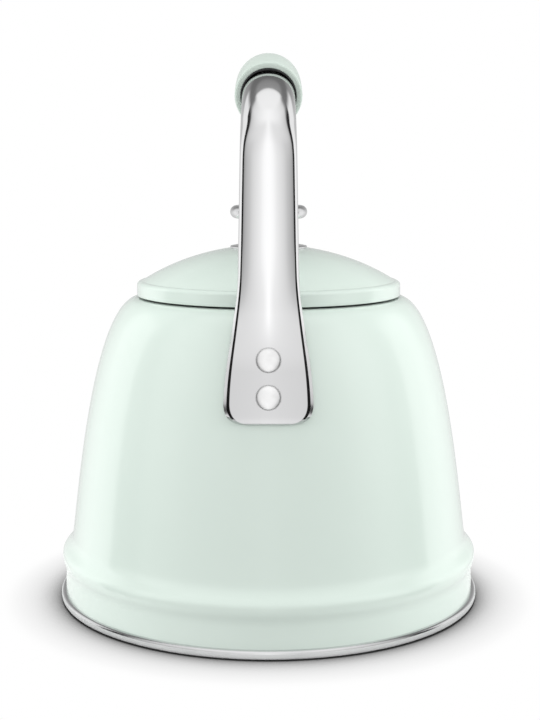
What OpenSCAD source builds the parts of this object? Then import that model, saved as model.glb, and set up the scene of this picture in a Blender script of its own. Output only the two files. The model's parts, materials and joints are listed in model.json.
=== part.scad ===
// Stovetop whistling kettle: a domed enamelled body on a polished base ring, a lift-off lid
// with a spool knob, an arched handle on two riveted straps, and a pull-off whistle on the spout.
// Frame: origin at the centre of the flat base, +Z up, +Y towards the spout.

/* [Base] */
// Outside diameter of the polished base ring
base_d = 188; // [186:0.5:200]
// Height of the base ring, on which the body wall stands
ring_h = 4; // [2.5:0.1:6]
// Clearance of the base ring above the surface that the kettle stands on
ring_lift = 0.3; // [0.1:0.1:1]
// Rounding of the base ring's outer edge
ring_round = 1.2; // [0.4:0.1:1.3]
// Sheet thickness of the magnetic base cap
cap_t = 0.6; // [0.4:0.1:1]
// Thickness of the aluminium heat disc
heat_disc_t = 3.6; // [2:0.1:6]
// Sheet thickness of the base pan
pan_t = 0.8; // [0.5:0.1:1.2]
// Height of the base pan's upturned flange
pan_flange_h = 9; // [5:0.5:14]

/* [Body] */
// Sheet thickness of the body
wall_t = 0.8; // [0.5:0.1:1.2]
// Width of the base ring's ledge outside the wall
ring_ledge = 1.95; // [1.3:0.05:3]
// Depth of the groove under the bead, in from the wall's foot
groove_in = 0.45; // [0:0.05:1.2]
// Height of the groove
groove_h = 12.6; // [10:0.1:14]
// How far the rolled bead stands out from the groove
bead_out = 1.45; // [0.6:0.05:2.4]
// Height of the bead's widest line
bead_h = 20.5; // [18:0.1:22]
// How far the plain wall lies inside the bead
bead_step = 4.65; // [3:0.05:7]
// Height of the plain wall's lower end
wall_h = 29; // [26:0.1:32]
// Inward lean of the wall just above the bead, in degrees
wall_lean = 9.15; // [6:0.05:12]
// How far the wall keeps its lean before it curves
wall_pull = 13.3; // [5:0.1:30]
// Outside diameter of the flat shoulder
shoulder_d = 116.9; // [114:0.1:122]
// Slope of the wall where it meets the shoulder, in degrees
shoulder_slope = 8.2; // [4:0.1:14]
// How far the wall keeps the shoulder's slope before it curves down
shoulder_pull = 20.3; // [12:0.1:26]
// Height of the flat shoulder
body_h = 134.6; // [130:0.1:145]
// Width of the shoulder's flat ledge round the neck
neck_ledge = 5.25; // [4.5:0.05:9]
// Depth of the neck below the shoulder
neck_depth = 8.5; // [5:0.1:12]

/* [Lid] */
// How far the lid's edge lies inside the shoulder's edge
lid_inset = 0.15; // [-0.5:0.05:1]
// Gap between the shoulder and the lid's edge
lid_gap = 0.8; // [0.6:0.1:1.6]
// Height of the lid's upright edge
lid_edge_h = 4.6; // [3:0.1:6]
// Width of the rounding from the edge to the crown
lid_round_w = 2.6; // [1.5:0.1:4]
// Height of the rounding from the edge to the crown
lid_round_h = 1.8; // [1:0.1:3]
// Height of the lid's crown above its lower edge
lid_rise = 21.8; // [18:0.1:26]
// How far the crown stays level before it falls
crown_pull = 31.6; // [20:0.1:36]
// Slope of the crown where it meets the edge, in degrees
crown_slope = 32; // [25:0.5:40]
// How far the crown keeps that slope
crown_edge_pull = 5.2; // [2:0.1:10]
// Sheet thickness of the lid
lid_t = 0.8; // [0.5:0.1:1.2]
// Sheet thickness of the lid's collar
collar_t = 0.6; // [0.4:0.1:1]
// Depth to which the lid's collar reaches below the shoulder
collar_depth = 7.5; // [4:0.1:11]
// Radial clearance of the collar in the neck
collar_clear = 0.6; // [0.3:0.1:1]
// Width of the flat lid gasket
gasket_w = 3.4; // [2:0.1:3.8]

/* [Knob] */
// Diameter of the knob's disc
knob_d = 34; // [28:0.5:40]
// Thickness of the knob's disc
knob_t = 5.7; // [4:0.1:8]
// Height of the disc's underside above the lid
knob_rise = 11.8; // [10:0.1:14]
// Diameter of the knob's waist
knob_waist_d = 15; // [12:0.5:20]
// Diameter of the knob's foot on its flange
knob_foot_d = 19; // [17:0.5:24]
// Diameter of the flange under the knob
knob_flange_d = 34; // [28:0.5:40]
// Thickness of the flange under the knob
knob_flange_t = 1; // [0.6:0.1:2]
// Diameter of the knob's screw
knob_screw_d = 5; // [4:0.1:6]
// Depth of the screw in the knob
knob_screw_depth = 9; // [6:0.5:12]
// Diameter of the knob's washer
knob_washer_d = 14; // [11:0.5:20]
// Thickness of the knob's washer
knob_washer_t = 1; // [0.6:0.1:1.5]

/* [Strap] */
// Sheet thickness of the handle straps
strap_t = 1.5; // [1:0.1:2]
// Height of the strap's lower end
foot_h = 92.8; // [88:0.1:95]
// Height of the lower rivet
rivet_h = 102.2; // [100:0.1:104]
// Height of the upper rivet above the lower one
rivet_pitch = 14.2; // [12:0.1:16]
// Width of the strap's flared foot
foot_w = 35.5; // [30:0.1:38]
// Width of the strap where the flare ends
strap_w = 24.4; // [20:0.1:28]
// Height at which the flare ends
flare_h = 150; // [140:1:165]
// Width of the strap where it enters the grip
strap_top_w = 21.3; // [19:0.1:21.6]
// Depth of the channel at the foot
foot_depth = 3.3; // [2.6:0.1:3.6]
// Depth of the channel along the upright
upright_depth = 7.4; // [6:0.1:8]
// Length above the rivets over which the channel deepens and its edges soften
soften_h = 36; // [24:1:60]
// Depth of the channel in the grip, and height of the strap above the grip's centre line
top_depth = 10; // [8:0.1:10.4]
// Length over which the foot's end is rounded off
foot_round = 8; // [5:0.1:9]
// Radius in which the strap turns from the wall to the upright
turn_r = 44; // [30:1:70]
// Radius in which the strap bends over into the grip
bend_r = 30.3; // [24:0.1:36]
// Gap between the strap's back and the wall at the rivets
strap_gap = 0.5; // [0.4:0.05:0.8]

/* [Grip] */
// Height of the top of the grip
handle_h = 239.8; // [232:0.1:250]
// Outside diameter of the grip
grip_d = 27.4; // [25.4:0.1:32]
// Radius of the arch along the grip's centre line
grip_arch_r = 176; // [140:1:240]
// Inside diameter of the grip's ends round the strap
grip_bore_d = 22.2; // [21.9:0.1:23.5]
// Depth of that bore
grip_bore_depth = 20; // [17:0.5:26]
// Length of strap inside the grip
strap_tail = 18; // [14:0.5:19]
// Thickness of the seals at the grip's ends
grip_seal_t = 2; // [1:0.1:3]
// Diameter of the pins through strap and core
pin_d = 3; // [2:0.1:4]
// Diameter of the grip's screws
grip_screw_d = 3.5; // [3:0.1:4.5]
// Spacing of the grip's screws
grip_screw_pitch = 30; // [20:1:36]

/* [Rivets] */
// Shank diameter of the handle rivets
rivet_d = 5; // [4:0.1:6]
// Head diameter of the handle rivets
rivet_head_d = 9.6; // [8:0.1:11]
// Height of the rivets' domed heads
rivet_head_h = 1.9; // [1.4:0.1:2.6]
// Width of the backing plates inside the wall
plate_w = 20; // [14:0.5:28]
// How far the backing plates reach beyond the rivets
plate_margin = 6.5; // [5:0.1:8]
// Thickness of the backing plates
plate_t = 1.2; // [0.8:0.1:2]

/* [Spout] */
// Height at which the spout's axis meets the wall
spout_root_h = 60; // [56:0.5:64]
// Angle of the spout above level, in degrees
spout_rise = 58; // [54:0.5:64]
// Length of the spout along its axis from the wall
spout_len = 69.6; // [60:0.1:80]
// Outside diameter of the spout at the wall
spout_root_d = 31; // [26:0.1:33]
// Outside diameter of the spout's tip
spout_tip_d = 25; // [22:0.1:28]
// Sheet thickness of the spout
spout_t = 0.8; // [0.6:0.1:1.2]
// Outside diameter of the rolled lip
lip_d = 27.8; // [26:0.1:31]
// Height of the rolled lip
lip_h = 3; // [2:0.1:4]

/* [Whistle] */
// Radial clearance of the whistle's seal in the tip
seal_clear = 0.1; // [0.05:0.05:0.2]
// Thickness of the whistle's seal
seal_t = 1; // [0.6:0.1:1.4]
// Length of the whistle's seal
seal_len = 4; // [2:0.1:5]
// Depth to which the whistle plugs into the tip
plug_depth = 9; // [7:0.1:12]
// Sheet thickness of the whistle
whistle_t = 0.8; // [0.5:0.1:1.2]
// Height of the whistle's drum above its flange
drum_h = 10; // [8:0.1:14]
// Outside diameter of the whistle's grip
whistle_grip_d = 31; // [29:0.5:36]
// Diameter of the holes in the whistle discs
whistle_hole_d = 3; // [2:0.1:3.8]
// Spacing of the two whistle discs
disc_pitch = 4; // [3:0.1:6]
// Number of finger grooves round the whistle's grip
grip_grooves = 12; // [8:1:16]

/* [Fits] */
// Clearance between pieces that fit together
fit = 0.05; // [0.03:0.01:0.08]
// Clearance between the core bar and the straps over it
core_clear = 0.2; // [0.15:0.05:0.5]
// Clearance between the grip's seals and the straps through them
seal_fit = 0.15; // [0.1:0.05:0.3]
// Gap between the lid gasket and the shoulder
seat_gap = 0.1; // [0.05:0.05:0.2]

/* [Hidden] */
$fn = 64;

MINT = [0.86, 0.94, 0.89];
STEEL = [0.78, 0.79, 0.80];
CHROME = [0.88, 0.89, 0.90];
ALUMINIUM = [0.70, 0.71, 0.72];
DARK = [0.12, 0.12, 0.13];

// ---- curves ----
function bezier(a, b, c, d, n) =
    [for (i = [0 : n]) let (t = i / n, u = 1 - t)
        u * u * u * a + 3 * u * u * t * b + 3 * u * t * t * c + t * t * t * d];
function rest(list) = [for (i = [1 : len(list) - 1]) list[i]];
function reversed(list) = [for (i = [len(list) - 1 : -1 : 0]) list[i]];
function swapped(list) = [for (p = list) [p[1], p[0]]];
function arc(centre, radius, from, to, n) =
    [for (i = [0 : n]) let (a = from + (to - from) * i / n)
        centre + [radius * cos(a), radius * sin(a)]];
function smooth(x) = let (u = max(0, min(1, x))) u * u * (3 - 2 * u);
// Side of a sheet that lies t to the left of the line through its points
function left_normal(p, q) = let (v = q - p) [-v[1], v[0]] / norm(v);
function sheet_side(line, t) =
    [for (i = [0 : len(line) - 1])
        let (m = len(line) - 1,
             n1 = left_normal(line[max(0, i - 1)], line[max(1, i)]),
             n2 = left_normal(line[min(m - 1, i)], line[min(m, i + 1)]),
             n = (n1 + n2) / norm(n1 + n2))
        line[i] + n * t / (n * n1)];

// ---- base ----
skirt_r = base_d / 2 - ring_ledge;
groove_r = skirt_r - groove_in;
bead_r = groove_r + bead_out;
skirt_inner_r = groove_r - wall_t;
pan_r = skirt_inner_r - fit;
cap_r = pan_r - 0.25;
base_t = cap_t + heat_disc_t;

// ---- body outline, from the base ring up to the shoulder ----
wall_foot = [bead_r - bead_step, wall_h];
shoulder = [shoulder_d / 2, body_h];
lean_dir = [-sin(wall_lean), cos(wall_lean)];
skirt_line = bezier([groove_r, groove_h], [groove_r, (groove_h + bead_h) / 2],
                    [bead_r, (groove_h + bead_h) / 2], [bead_r, bead_h], 6);
bead_pull = (wall_h - bead_h) * 0.37;
bead_line = bezier([bead_r, bead_h], [bead_r, bead_h + bead_pull],
                   wall_foot - lean_dir * bead_pull * 1.5, wall_foot, 8);
wall_line = bezier(wall_foot, wall_foot + lean_dir * wall_pull,
                   shoulder + shoulder_pull * [cos(shoulder_slope), -sin(shoulder_slope)],
                   shoulder, 22);
outer_line = concat([[skirt_r, ring_h]], skirt_line, rest(bead_line), rest(wall_line));
wall_table = swapped(wall_line);
function wall_r(h) = lookup(h, wall_table);
neck_r = shoulder_d / 2 - neck_ledge;
neck_round = 1.2;

// ---- lid ----
lid_r = shoulder_d / 2 - lid_inset;
lid_edge_z = body_h + lid_gap;
crown_z = lid_edge_z + lid_rise;
crown_edge = [lid_r - lid_round_w, lid_edge_z + lid_edge_h + lid_round_h];
crown_line = bezier([0, crown_z], [crown_pull, crown_z],
                    crown_edge + crown_edge_pull * [-cos(crown_slope), sin(crown_slope)],
                    crown_edge, 18);
edge_line = [for (i = [1 : 6]) let (a = 90 - 15 * i)
    crown_edge + [lid_round_w * cos(a), lid_round_h * (sin(a) - 1)]];
lid_line = concat(crown_line, edge_line, [[lid_r, lid_edge_z]]);
function crown_at(r) = lookup(r, crown_line);
collar_r = neck_r - collar_clear;
collar_z = lid_edge_z + 1;
knob_seat_z = crown_z + knob_flange_t;
washer_z = crown_at(knob_washer_d / 2) - lid_t - fit - knob_washer_t;
screw_bore_r = knob_screw_d / 2 + fit;

// ---- handle path: distance from the kettle's axis, height, tilt of the path from upright ----
rivet_top_h = rivet_h + rivet_pitch;
foot_lean = atan((wall_r(rivet_h) - wall_r(rivet_top_h)) / rivet_pitch);
back_off = strap_gap + strap_t;
function foot_at(h) = [wall_r(rivet_h) + back_off - (h - rivet_h) * tan(foot_lean), h, foot_lean];
turn_start = foot_at(rivet_top_h + 3);
reach = turn_start[0] - turn_r * (1 - cos(foot_lean));
upright_z = turn_start[1] + turn_r * sin(foot_lean);
arch_z = handle_h - grip_d / 2 - grip_arch_r;
crest_r = grip_arch_r + top_depth;
grip_angle = asin((reach - bend_r) / (crest_r - bend_r));
bend_z = arch_z + (crest_r - bend_r) * cos(grip_angle);
tail_angle = strap_tail / crest_r * 180 / PI;

round_at = foot_h + foot_round;
function turn_at(a) = [turn_start[0] - turn_r * (cos(a) - cos(foot_lean)),
                       turn_start[1] + turn_r * (sin(foot_lean) - sin(a)), a];
function bend_at(a) = [reach - bend_r * (1 - cos(a)), bend_z + bend_r * sin(a), a];
function crest_at(a) = [crest_r * sin(a), arch_z + crest_r * cos(a), 90 - a];
// Each station also holds how far the rounded end has closed, from 0 to 1
strap_path = concat(
    [for (u = [0.97, 0.9, 0.8, 0.65, 0.45, 0.2]) concat(foot_at(round_at - u * foot_round), u)],
    [for (i = [0 : 5]) concat(foot_at(round_at + (turn_start[1] - round_at) * i / 5), 0)],
    [for (i = [1 : 3]) concat(turn_at(foot_lean * (1 - i / 3)), 0)],
    [for (i = [1 : 5]) concat([reach, upright_z + (bend_z - upright_z) * i / 5, 0], 0)],
    [for (i = [1 : 9]) concat(bend_at((90 - grip_angle) * i / 9), 0)],
    [for (i = [1 : 2]) concat(crest_at(grip_angle - tail_angle * i / 2), 0)]);

// ---- strap section ----
strap_turns = [0, 20, 35, 45, 55, 70, 90, 110, 125, 135, 145, 160, 180];
function half_width(h) =
    let (upper = strap_w + (strap_top_w - strap_w) * (h - flare_h) / (bend_z + bend_r - flare_h),
         full = foot_w - (strap_w + (strap_top_w - strap_w) * (round_at - flare_h)
                          / (bend_z + bend_r - flare_h)))
    (upper + full * smooth((flare_h - h) / (flare_h - round_at))) / 2;
function wall_room(p) =
    let (r = wall_r(p[1]), w = half_width(p[1]))
    p[1] > body_h - 10 ? top_depth : (p[0] - sqrt(r * r - w * w)) * cos(p[2]) - strap_gap / 2;
// How far the section has passed from the flat foot to the upright, and from there to the grip
function risen(p) = smooth((p[1] - rivet_top_h) / soften_h);
function over(p) = smooth((p[1] - bend_z + 6) / 18);
function channel_depth(p) =
    min(foot_depth + (upright_depth - foot_depth) * risen(p)
        + (top_depth - upright_depth) * over(p), wall_room(p));
function squareness(p) = 6 - 3.3 * risen(p) - 0.5 * over(p);
function oval(a, w, d, n) =
    [w * sign(cos(a)) * pow(abs(cos(a)), 2 / n), d * pow(abs(sin(a)), 2 / n)];
// Loop round the channel: outer face from side to side, then the inner face back
function channel_loop(w, d, n, t = strap_t) = concat(
    [for (a = strap_turns) oval(a, w, d, n)],
    [for (a = reversed(strap_turns)) oval(a, w - t, d - t, n)]);
function strap_ring(p) =
    let (full = channel_depth(p), w = half_width(max(p[1], round_at)) * pow(1 - pow(p[3], 2.2), 0.19),
         d = full * pow(1 - pow(p[3], 6), 1 / 6), inward = [0, cos(p[2]), -sin(p[2])])
    [for (q = channel_loop(w, d, squareness(p)))
        [q[0], -p[0], p[1]] + inward * (full - q[1])];

// ---- rivets ----
rivet_heights = [rivet_h, rivet_top_h];
plate_line = [for (i = [0 : 6])
    let (h = rivet_h - plate_margin + (rivet_pitch + 2 * plate_margin) * i / 6) [wall_r(h), h]];
plate_turn = asin(plate_w / 2 / wall_r(rivet_top_h));
rivet_grip = back_off + wall_t + fit + plate_t + 0.2;

// ---- grip ----
core_r = top_depth - strap_t - core_clear;
function arch_degrees(length) = length / grip_arch_r * 180 / PI;
core_angle = grip_angle - arch_degrees(grip_seal_t + 1);
seal_angle = grip_angle - arch_degrees(0.5 + grip_seal_t / 2);
pin_angle = grip_angle - tail_angle * 0.6;
pin_lift = top_depth * 0.35;
grip_screw_head_r = grip_screw_d * 0.9;
grip_screw_head_h = grip_screw_d * 0.6;
grip_screw_seat = -grip_d / 2 + grip_screw_head_h + 0.5;

// ---- spout and whistle ----
spout_root = [0, wall_r(spout_root_h), spout_root_h];
spout_tip_r = spout_tip_d / 2;
tip_bore_r = spout_tip_r - spout_t;
spout_start = -spout_root_d - 6;
function spout_r(w) = spout_tip_r + (spout_root_d - spout_tip_d) / 2 * (1 - w / spout_len);
seal_r = tip_bore_r - seal_clear;
plug_r = seal_r - seal_t;
flange_z = lip_h + seat_gap;
drum_z = flange_z + whistle_t;
drum_r = plug_r + whistle_t / 2;
disc_r = drum_r - whistle_t - fit;
disc_t = 0.6;

// ---- shared modules ----
module spun(points) {
    rotate_extrude($fn = 96) polygon(points);
}
module along_spout(w = 0) {
    translate(spout_root) rotate([spout_rise - 90, 0, 0]) translate([0, 0, w]) children();
}
module at_rivets() {
    for (h = rivet_heights)
        translate([0, -foot_at(h)[0], h]) rotate([90 - foot_lean, 0, 0]) children();
}
module front() {
    mirror([0, 1, 0]) children();
}
// Sweeps a flat shape along the grip's centre line, from angle a to angle b off the top
module along_arch(a, b) {
    translate([0, 0, arch_z]) rotate([90, 0, 90]) rotate([0, 0, 90 - b])
        rotate_extrude(angle = b - a, $fn = 360) translate([grip_arch_r, 0]) children();
}
// Places children on the grip's centre line with +Y along the arch and +Z outwards
module on_arch(a) {
    translate([0, 0, arch_z]) rotate([-a, 0, 0]) translate([0, 0, grip_arch_r]) children();
}

// ---- base ----
module base_cap() {
    color(STEEL) difference() {
        cylinder(r = cap_r, h = base_t);
        translate([0, 0, cap_t]) cylinder(r = cap_r - cap_t, h = base_t);
    }
}
module heat_disc() {
    color(ALUMINIUM) translate([0, 0, cap_t]) cylinder(r = cap_r - cap_t - fit, h = heat_disc_t);
}
module base_pan() {
    color(STEEL) translate([0, 0, base_t]) difference() {
        cylinder(r = pan_r, h = pan_flange_h);
        translate([0, 0, pan_t]) cylinder(r = pan_r - pan_t, h = pan_flange_h);
    }
}
module base_ring() {
    r = base_d / 2;
    color(CHROME) spun(concat(
        [[skirt_inner_r, ring_lift], [r - ring_round, ring_lift]],
        arc([r - ring_round, ring_lift + ring_round], ring_round, -75, 0, 5),
        arc([r - ring_round, ring_h - ring_round], ring_round, 0, 75, 5),
        [[r - ring_round, ring_h], [skirt_inner_r, ring_h]]));
}

// ---- body ----
module body_solid() {
    spun(concat([[0, ring_h]], outer_line, [[0, body_h]]));
}
module body_shell() {
    inner_line = sheet_side(outer_line, wall_t);
    under = neck_r + wall_t;
    inside = [for (p = rest(inner_line)) if (p[1] < body_h - 1.3 * wall_t) p];
    past = spout_root_d;
    color(MINT) difference() {
        spun(concat(outer_line,
            arc([neck_r + neck_round, body_h - neck_round], neck_round, 90, 180, 5),
            [[neck_r, body_h - neck_depth], [under, body_h - neck_depth], [under, body_h - wall_t]],
            reversed(inside), [[skirt_r - wall_t, ring_h]]));
        along_spout(spout_start)
            cylinder(r1 = spout_r(spout_start) - spout_t, r2 = spout_r(past) - spout_t,
                     h = past - spout_start);
        rivet_bores();
        front() rivet_bores();
    }
}
module rivet_bores() {
    at_rivets() translate([0, 0, -3 * rivet_grip])
        cylinder(r = rivet_d / 2 + fit, h = 3 * rivet_grip + rivet_head_h);
}
module spout() {
    color(MINT) difference() {
        along_spout(spout_start)
            cylinder(r1 = spout_r(spout_start), r2 = spout_tip_r, h = spout_len - spout_start);
        along_spout(spout_start - 1)
            cylinder(r1 = spout_r(spout_start - 1) - spout_t, r2 = spout_r(spout_len + 1) - spout_t,
                     h = spout_len - spout_start + 2);
        body_solid();
    }
}
module spout_lip() {
    r = lip_d / 2;
    color(CHROME) along_spout(spout_len) spun(concat(
        [[tip_bore_r, 0], [r - 0.4, 0], [r, 0.4]],
        arc([r - 1, lip_h - 1], 1, 0, 90, 4),
        [[tip_bore_r, lip_h]]));
}

// ---- handle ----
module strap() {
    turns = len(strap_turns);
    ring = 2 * turns;
    last = len(strap_path) - 1;
    points = [for (p = strap_path) each strap_ring(p)];
    sides = [for (i = [0 : last - 1], j = [0 : ring - 1])
        let (a = i * ring + j, b = i * ring + (j + 1) % ring, c = a + ring, d = b + ring)
        each [[a, c, b], [b, c, d]]];
    foot_end = [for (j = [0 : turns - 2])
        let (k = ring - 1 - j) each [[j, j + 1, k - 1], [j, k - 1, k]]];
    tail_end = [for (f = foot_end) [for (j = reversed(f)) last * ring + j]];
    difference() {
        polyhedron(points, concat(foot_end, sides, tail_end));
        rivet_bores();
        pin_bores(fit);
    }
}
module pin_bores(clearance) {
    for (side = [-1, 1])
        on_arch(side * pin_angle) translate([0, 0, pin_lift]) rotate([0, 90, 0])
            cylinder(r = pin_d / 2 + clearance, h = strap_top_w + 2, center = true);
}
module rear_strap() {
    color(STEEL) strap();
}
module front_strap() {
    color(STEEL) front() strap();
}
module rivets() {
    r = rivet_head_d / 2;
    brim = rivet_head_h * 0.3;
    at_rivets() {
        spun(concat([[0, 0], [r, 0]],
            [for (i = [0 : 8]) let (a = 90 * i / 8)
                [r * pow(cos(a), 0.7), brim + (rivet_head_h - brim) * pow(sin(a), 0.8)]]));
        translate([0, 0, -rivet_grip]) cylinder(d = rivet_d, h = rivet_grip);
        translate([0, 0, -rivet_grip - plate_t]) cylinder(r = rivet_d * 0.8, h = plate_t);
    }
}
module rear_rivets() {
    color(CHROME) rivets();
}
module front_rivets() {
    color(CHROME) front() rivets();
}
module backing_plate() {
    difference() {
        rotate([0, 0, -90 - plate_turn]) rotate_extrude(angle = 2 * plate_turn, $fn = 96)
            polygon(concat(sheet_side(plate_line, wall_t + fit),
                           reversed(sheet_side(plate_line, wall_t + fit + plate_t))));
        rivet_bores();
    }
}
module rear_backing_plate() {
    color(STEEL) backing_plate();
}
module front_backing_plate() {
    color(STEEL) front() backing_plate();
}
module handle_core() {
    color(STEEL) difference() {
        along_arch(-core_angle, core_angle) circle(r = core_r);
        pin_bores(fit);
        grip_screw_places() translate([0, 0, -grip_d])
            cylinder(r = grip_screw_d / 2 + fit, h = grip_d + core_r * 0.7);
    }
}
module grip_screw_places() {
    for (side = [-1, 1]) on_arch(side * arch_degrees(grip_screw_pitch / 2)) children();
}
module grip_sleeve() {
    end = arch_degrees(grip_bore_depth);
    color(MINT) difference() {
        along_arch(-grip_angle, grip_angle) circle(d = grip_d);
        along_arch(-grip_angle - 1, grip_angle + 1) circle(r = core_r + fit);
        along_arch(-grip_angle - 1, end - grip_angle) circle(d = grip_bore_d);
        along_arch(grip_angle - end, grip_angle + 1) circle(d = grip_bore_d);
        grip_screw_places() {
            translate([0, 0, -grip_d]) cylinder(r = grip_screw_d / 2 + fit, h = grip_d);
            translate([0, 0, -grip_d]) cylinder(r = grip_screw_head_r + fit, h = grip_d + grip_screw_seat);
        }
    }
}
module grip_screws() {
    color(STEEL) grip_screw_places() {
        translate([0, 0, grip_screw_seat])
            cylinder(d = grip_screw_d, h = core_r * 0.6 - grip_screw_seat);
        translate([0, 0, grip_screw_seat - grip_screw_head_h])
            cylinder(r = grip_screw_head_r, h = grip_screw_head_h);
    }
}
module strap_pins() {
    color(STEEL) for (side = [-1, 1])
        on_arch(side * pin_angle) translate([0, 0, pin_lift]) rotate([0, 90, 0])
            cylinder(d = pin_d, h = strap_top_w - 1.6, center = true);
}
module grip_seal(side) {
    w = half_width(bend_z + bend_r) + seal_fit;
    on_arch(side * seal_angle) rotate([90, 0, 0]) linear_extrude(grip_seal_t, center = true)
        difference() {
            circle(d = grip_bore_d - 2 * fit);
            translate([0, -seal_fit])
                polygon(channel_loop(w, top_depth + 2 * seal_fit, 2.2, strap_t + 2 * seal_fit));
        }
}
module grip_seal_rear() {
    color(DARK) grip_seal(-1);
}
module grip_seal_front() {
    color(DARK) grip_seal(1);
}

// ---- lid ----
module lid_shell() {
    color(MINT) difference() {
        spun(concat(lid_line, reversed(rest(sheet_side(lid_line, -lid_t))), [[0, crown_z - lid_t]]));
        translate([0, 0, crown_z - lid_rise / 2]) cylinder(r = screw_bore_r, h = lid_rise);
    }
}
module lid_collar() {
    rim = lid_r - lid_t - fit;
    inner = collar_r - collar_t;
    low = body_h - collar_depth;
    color(STEEL) spun([[inner, low], [collar_r, low], [collar_r, collar_z], [rim, collar_z],
                       [rim, collar_z + collar_t], [inner, collar_z + collar_t]]);
}
module lid_gasket() {
    low = body_h + seat_gap;
    color(DARK) spun([[collar_r + fit, low], [neck_r + gasket_w, low],
                      [neck_r + gasket_w, collar_z], [collar_r + fit, collar_z]]);
}
module knob_flange() {
    r = knob_flange_d / 2;
    under = [for (p = crown_line) if (p[0] > screw_bore_r && p[0] < r) p + [0, fit]];
    color(CHROME) spun(concat(
        [[screw_bore_r, crown_z + fit]], under, [[r, crown_at(r) + fit], [r, crown_at(r) + knob_flange_t],
         [knob_foot_d / 2, knob_seat_z], [screw_bore_r, knob_seat_z]]));
}
module knob() {
    under_z = crown_z + knob_rise;
    half = knob_t / 2;
    waist = knob_waist_d / 2;
    edge = knob_d / 2 - half;
    color(CHROME) difference() {
        spun(concat([[0, knob_seat_z]],
            bezier([knob_foot_d / 2, knob_seat_z], [waist, knob_seat_z + 2],
                   [waist, under_z - 1.5], [edge, under_z], 12),
            rest(arc([edge, under_z + half], half, -90, 90, 10)),
            [[0, under_z + knob_t + 0.6]]));
        translate([0, 0, crown_z]) cylinder(r = screw_bore_r, h = knob_flange_t + knob_screw_depth);
    }
}
module knob_washer() {
    color(STEEL) translate([0, 0, washer_z]) difference() {
        cylinder(d = knob_washer_d, h = knob_washer_t);
        translate([0, 0, -1]) cylinder(r = screw_bore_r, h = knob_washer_t + 2);
    }
}
module knob_screw() {
    head_h = knob_screw_d * 0.5;
    color(STEEL) {
        translate([0, 0, washer_z]) cylinder(d = knob_screw_d,
                                             h = knob_seat_z + knob_screw_depth - 0.5 - washer_z);
        translate([0, 0, washer_z - head_h]) cylinder(r = knob_screw_d * 0.85, h = head_h);
    }
}

// ---- whistle, in the frame of the spout's tip ----
module at_tip() {
    along_spout(spout_len) children();
}
module whistle_cap() {
    inner = plug_r - whistle_t;
    top = drum_z + drum_h;
    color(CHROME) at_tip() spun([
        [inner, -plug_depth], [plug_r, -plug_depth], [plug_r, flange_z], [lip_d / 2, flange_z],
        [lip_d / 2, drum_z], [drum_r, drum_z], [drum_r, top], [drum_r - whistle_t, top],
        [drum_r - whistle_t, drum_z], [inner, drum_z]]);
}
module whistle_disc_inner() {
    color(STEEL) at_tip() translate([0, 0, drum_z]) difference() {
        cylinder(r = disc_r, h = disc_t);
        translate([0, 0, -1]) cylinder(d = whistle_hole_d, h = disc_t + 2);
    }
}
module whistle_disc_outer() {
    color(STEEL) at_tip() translate([0, 0, drum_z + disc_t]) difference() {
        cylinder(r = disc_r, h = disc_pitch);
        translate([0, 0, -disc_t]) cylinder(r = disc_r - disc_t, h = disc_pitch);
        cylinder(d = whistle_hole_d, h = disc_pitch + 1);
    }
}
module whistle_seal() {
    color(DARK) at_tip() translate([0, 0, 2 - plug_depth]) difference() {
        cylinder(r = seal_r, h = seal_len);
        translate([0, 0, -1]) cylinder(r = plug_r + fit, h = seal_len + 2);
    }
}
module whistle_grip() {
    r = whistle_grip_d / 2;
    color(DARK) at_tip() translate([0, 0, drum_z]) difference() {
        cylinder(r = r, h = drum_h - 1.5);
        translate([0, 0, -1]) cylinder(r = drum_r + fit, h = drum_h + 2);
        for (i = [1 : grip_grooves]) rotate([0, 0, 360 * i / grip_grooves])
            translate([r + 1, 0, -1]) cylinder(r = 2, h = drum_h + 2);
    }
}

body_shell();
base_pan();
heat_disc();
base_cap();
base_ring();
spout();
spout_lip();
rear_strap();
front_strap();
rear_rivets();
front_rivets();
rear_backing_plate();
front_backing_plate();
handle_core();
grip_sleeve();
grip_seal_rear();
grip_seal_front();
grip_screws();
strap_pins();
lid_shell();
lid_collar();
lid_gasket();
knob_flange();
knob();
knob_screw();
knob_washer();
whistle_cap();
whistle_disc_inner();
whistle_disc_outer();
whistle_seal();
whistle_grip();
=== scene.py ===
"""Stovetop whistling kettle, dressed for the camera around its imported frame."""

import json
import math

import bpy
import numpy as np
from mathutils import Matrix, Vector


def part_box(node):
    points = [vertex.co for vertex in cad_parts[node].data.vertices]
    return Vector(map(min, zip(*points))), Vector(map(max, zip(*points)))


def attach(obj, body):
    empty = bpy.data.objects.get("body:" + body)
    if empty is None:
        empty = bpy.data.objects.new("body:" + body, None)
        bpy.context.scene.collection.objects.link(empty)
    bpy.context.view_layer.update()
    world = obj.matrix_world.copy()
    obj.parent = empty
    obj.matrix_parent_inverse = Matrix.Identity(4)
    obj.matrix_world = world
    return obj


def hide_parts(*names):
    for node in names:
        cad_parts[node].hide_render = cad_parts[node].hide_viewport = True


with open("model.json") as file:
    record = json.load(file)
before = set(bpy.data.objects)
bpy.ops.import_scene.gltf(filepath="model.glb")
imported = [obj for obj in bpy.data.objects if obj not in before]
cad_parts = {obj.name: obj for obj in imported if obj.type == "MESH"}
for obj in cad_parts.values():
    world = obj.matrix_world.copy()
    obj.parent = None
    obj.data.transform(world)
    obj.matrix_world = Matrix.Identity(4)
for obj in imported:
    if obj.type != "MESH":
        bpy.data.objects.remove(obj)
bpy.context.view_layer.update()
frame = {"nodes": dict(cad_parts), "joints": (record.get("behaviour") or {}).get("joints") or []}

# ---- camera ----
# It stands behind the kettle, a little lower than the grip, and looks slightly down, so that the rear
# strap hides the spout.
camera_at = (0.0006, -0.6043, 0.1952)
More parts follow.
